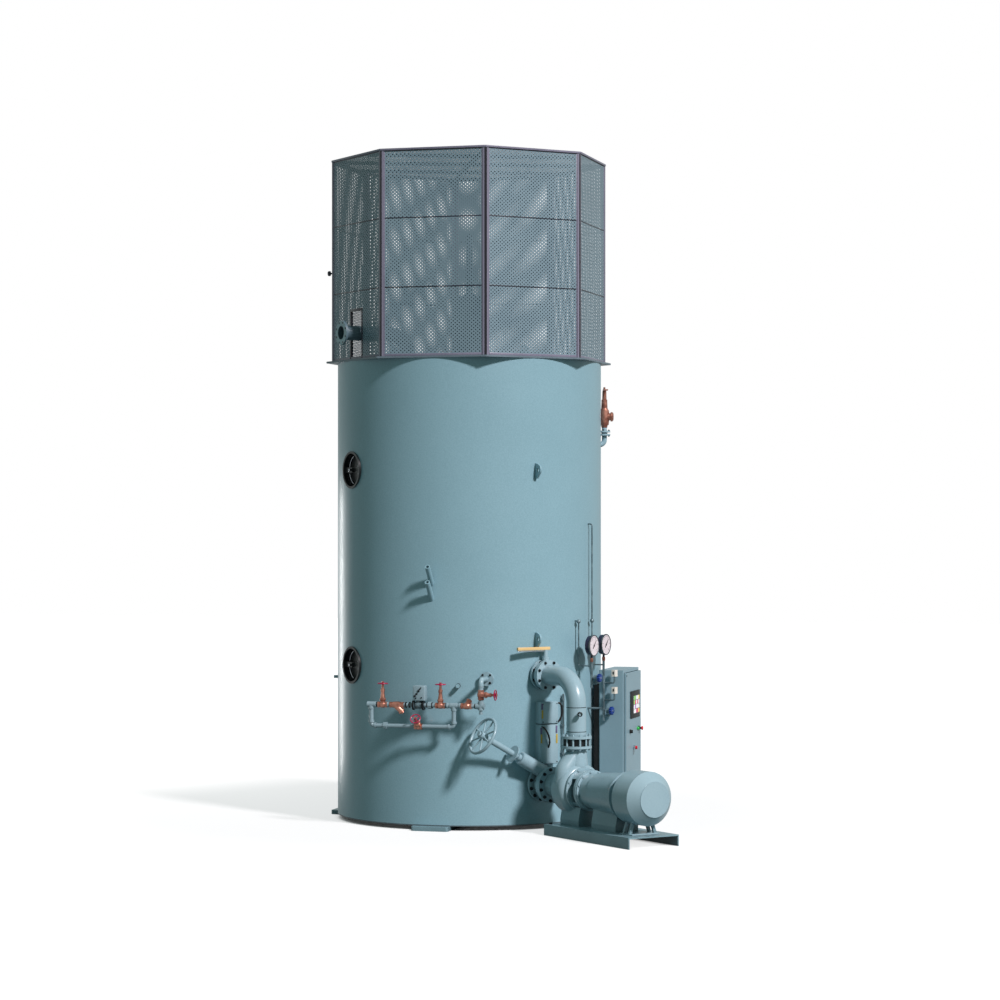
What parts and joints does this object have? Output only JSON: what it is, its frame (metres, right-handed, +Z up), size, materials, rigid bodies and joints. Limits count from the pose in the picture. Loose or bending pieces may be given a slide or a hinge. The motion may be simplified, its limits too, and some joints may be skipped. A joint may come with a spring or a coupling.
{
  "type": "electrode steam boiler",
  "caption": "Upright cylindrical electrode steam boiler with a screened cage on top, feed trim, a circulation pump set with its valves, dial gauges and a control cabinet.",
  "frame": {"origin": "on the boiler's upright axis, at the floor", "axes": "+Z up, -Y the front with the feed trim, +X the side with the control cabinet; the pump points out 48 degrees from the front towards +X"},
  "size_m": [4.6353, 4.3844, 7.715],
  "materials": {
    "jacket_paint": "satin",
    "vessel_steel": "satin",
    "manway_steel": "satin",
    "deck_paint": "satin",
    "cage_paint": "satin",
    "bronze": "cast",
    "valve_paint": "satin",
    "wheel_paint": "gloss",
    "knob_paint": "gloss",
    "lever_paint": "satin",
    "pump_paint": "satin",
    "black_iron": "matt",
    "cabinet_paint": "satin",
    "black_plastic": "matt",
    "gauge_case": "gloss",
    "pipe_paint": "satin",
    "pipe_steel": "satin",
    "white_plastic": "satin"
  },
  "bodies": {
    "boiler": {"base_frame": "vessel_steel", "bypass_line": "pipe_paint", "bypass_valve": "bronze", "cable_duct": "black_plastic", "cage_panel_front": "cage_paint", "cage_panel_front_left": "cage_paint", "cage_panel_front_right": "cage_paint", "cage_panel_rear": "cage_paint", "cage_panel_right": "cage_paint", "cage_posts": "cage_paint", "cage_roof": "cage_paint", "check_valve": "bronze", "control_cabinet": "cabinet_paint", "control_valve": "valve_paint", "deck_plate": "deck_paint", "discharge_spool": "pump_paint", "discharge_valve": "pump_paint", "electrode_housing": "vessel_steel", "fan_cover": "pump_paint", "feed_line": "pipe_paint", "feed_nozzle": "jacket_paint", "gate_valve_left": "bronze", "gate_valve_right": "bronze", "gauge_piping": "pipe_steel", "instrument_boxes": "cabinet_paint", "jacket_floor": "vessel_steel", "jacket_shell": "jacket_paint", "jacket_stubs": "jacket_paint", "lifting_lugs": "jacket_paint", "manway_covers": "manway_steel", "manway_necks": "jacket_paint", "manway_yokes": "manway_steel", "pressure_gauges": "gauge_case", "pressure_switches": "white_plastic", "pressure_vessel": "vessel_steel", "pump_baseplate": "pump_paint", "pump_bracket": "pump_paint", "pump_motor": "pump_paint", "pump_pedestals": "pump_paint", "pump_volute": "pump_paint", "safety_pipe": "jacket_paint", "safety_valve": "bronze", "steam_outlet": "jacket_paint", "stop_valve": "bronze", "strainer": "bronze", "suction_bonnet": "pump_paint", "suction_valve": "pump_paint", "wafer_valve": "black_iron"},
    "suction_wheel": {"suction_wheel": "pump_paint"},
    "discharge_lever": {"discharge_lever": "lever_paint"},
    "gate_wheel_left": {"gate_wheel_left": "wheel_paint"},
    "gate_wheel_right": {"gate_wheel_right": "wheel_paint"},
    "stop_wheel": {"stop_wheel": "wheel_paint"},
    "bypass_wheel": {"bypass_wheel": "wheel_paint"},
    "cabinet_door": {"cabinet_door": "cabinet_paint", "door_controls": "black_plastic"},
    "cage_door": {"cage_door": "cage_paint"},
    "gauge_knob_upper": {"gauge_knob_upper": "knob_paint"},
    "gauge_knob_lower": {"gauge_knob_lower": "knob_paint"}
  },
  "joints": [
    {"name": "suction_wheel_turn", "type": "hinge", "parent": "boiler", "child": "suction_wheel", "pos_m": [0.65851, -1.74948, 1.09366], "axis": [-0.588, -0.6531, 0.4772], "continuous": true},
    {"name": "discharge_lever_turn", "type": "hinge", "parent": "boiler", "child": "discharge_lever", "pos_m": [1.20761, -1.08734, 2.033], "axis": [0, 0, 1], "range_deg": [0, 90]},
    {"name": "gate_wheel_left_turn", "type": "hinge", "parent": "boiler", "child": "gate_wheel_left", "pos_m": [-0.514, -1.744, 1.66], "axis": [0, 0, 1], "continuous": true},
    {"name": "gate_wheel_right_turn", "type": "hinge", "parent": "boiler", "child": "gate_wheel_right", "pos_m": [0.163, -1.744, 1.66], "axis": [0, 0, 1], "continuous": true},
    {"name": "stop_wheel_turn", "type": "hinge", "parent": "boiler", "child": "stop_wheel", "pos_m": [0.8, -1.744, 1.551], "axis": [1, 0, 0], "continuous": true},
    {"name": "bypass_wheel_turn", "type": "hinge", "parent": "boiler", "child": "bypass_wheel", "pos_m": [-0.093, -1.86779, 1.27928], "axis": [0, -0.7986, 0.6018], "continuous": true},
    {"name": "gauge_knob_upper_turn", "type": "hinge", "parent": "boiler", "child": "gauge_knob_upper", "pos_m": [1.72731, -0.6533, 1.697], "axis": [0.9744, -0.225, 0], "continuous": true},
    {"name": "gauge_knob_lower_turn", "type": "hinge", "parent": "boiler", "child": "gauge_knob_lower", "pos_m": [1.79704, -0.35125, 1.305], "axis": [0.9744, -0.225, 0], "continuous": true},
    {"name": "cabinet_door_swing", "type": "hinge", "parent": "boiler", "child": "cabinet_door", "pos_m": [1.942, 0.529, 0.925], "axis": [0, 0, 1], "range_deg": [0, 110]},
    {"name": "cage_door_swing", "type": "hinge", "parent": "boiler", "child": "cage_door", "pos_m": [-1.512, 0.58282, 6.533], "axis": [0, 0, -1], "range_deg": [0, 110]}
  ]
}
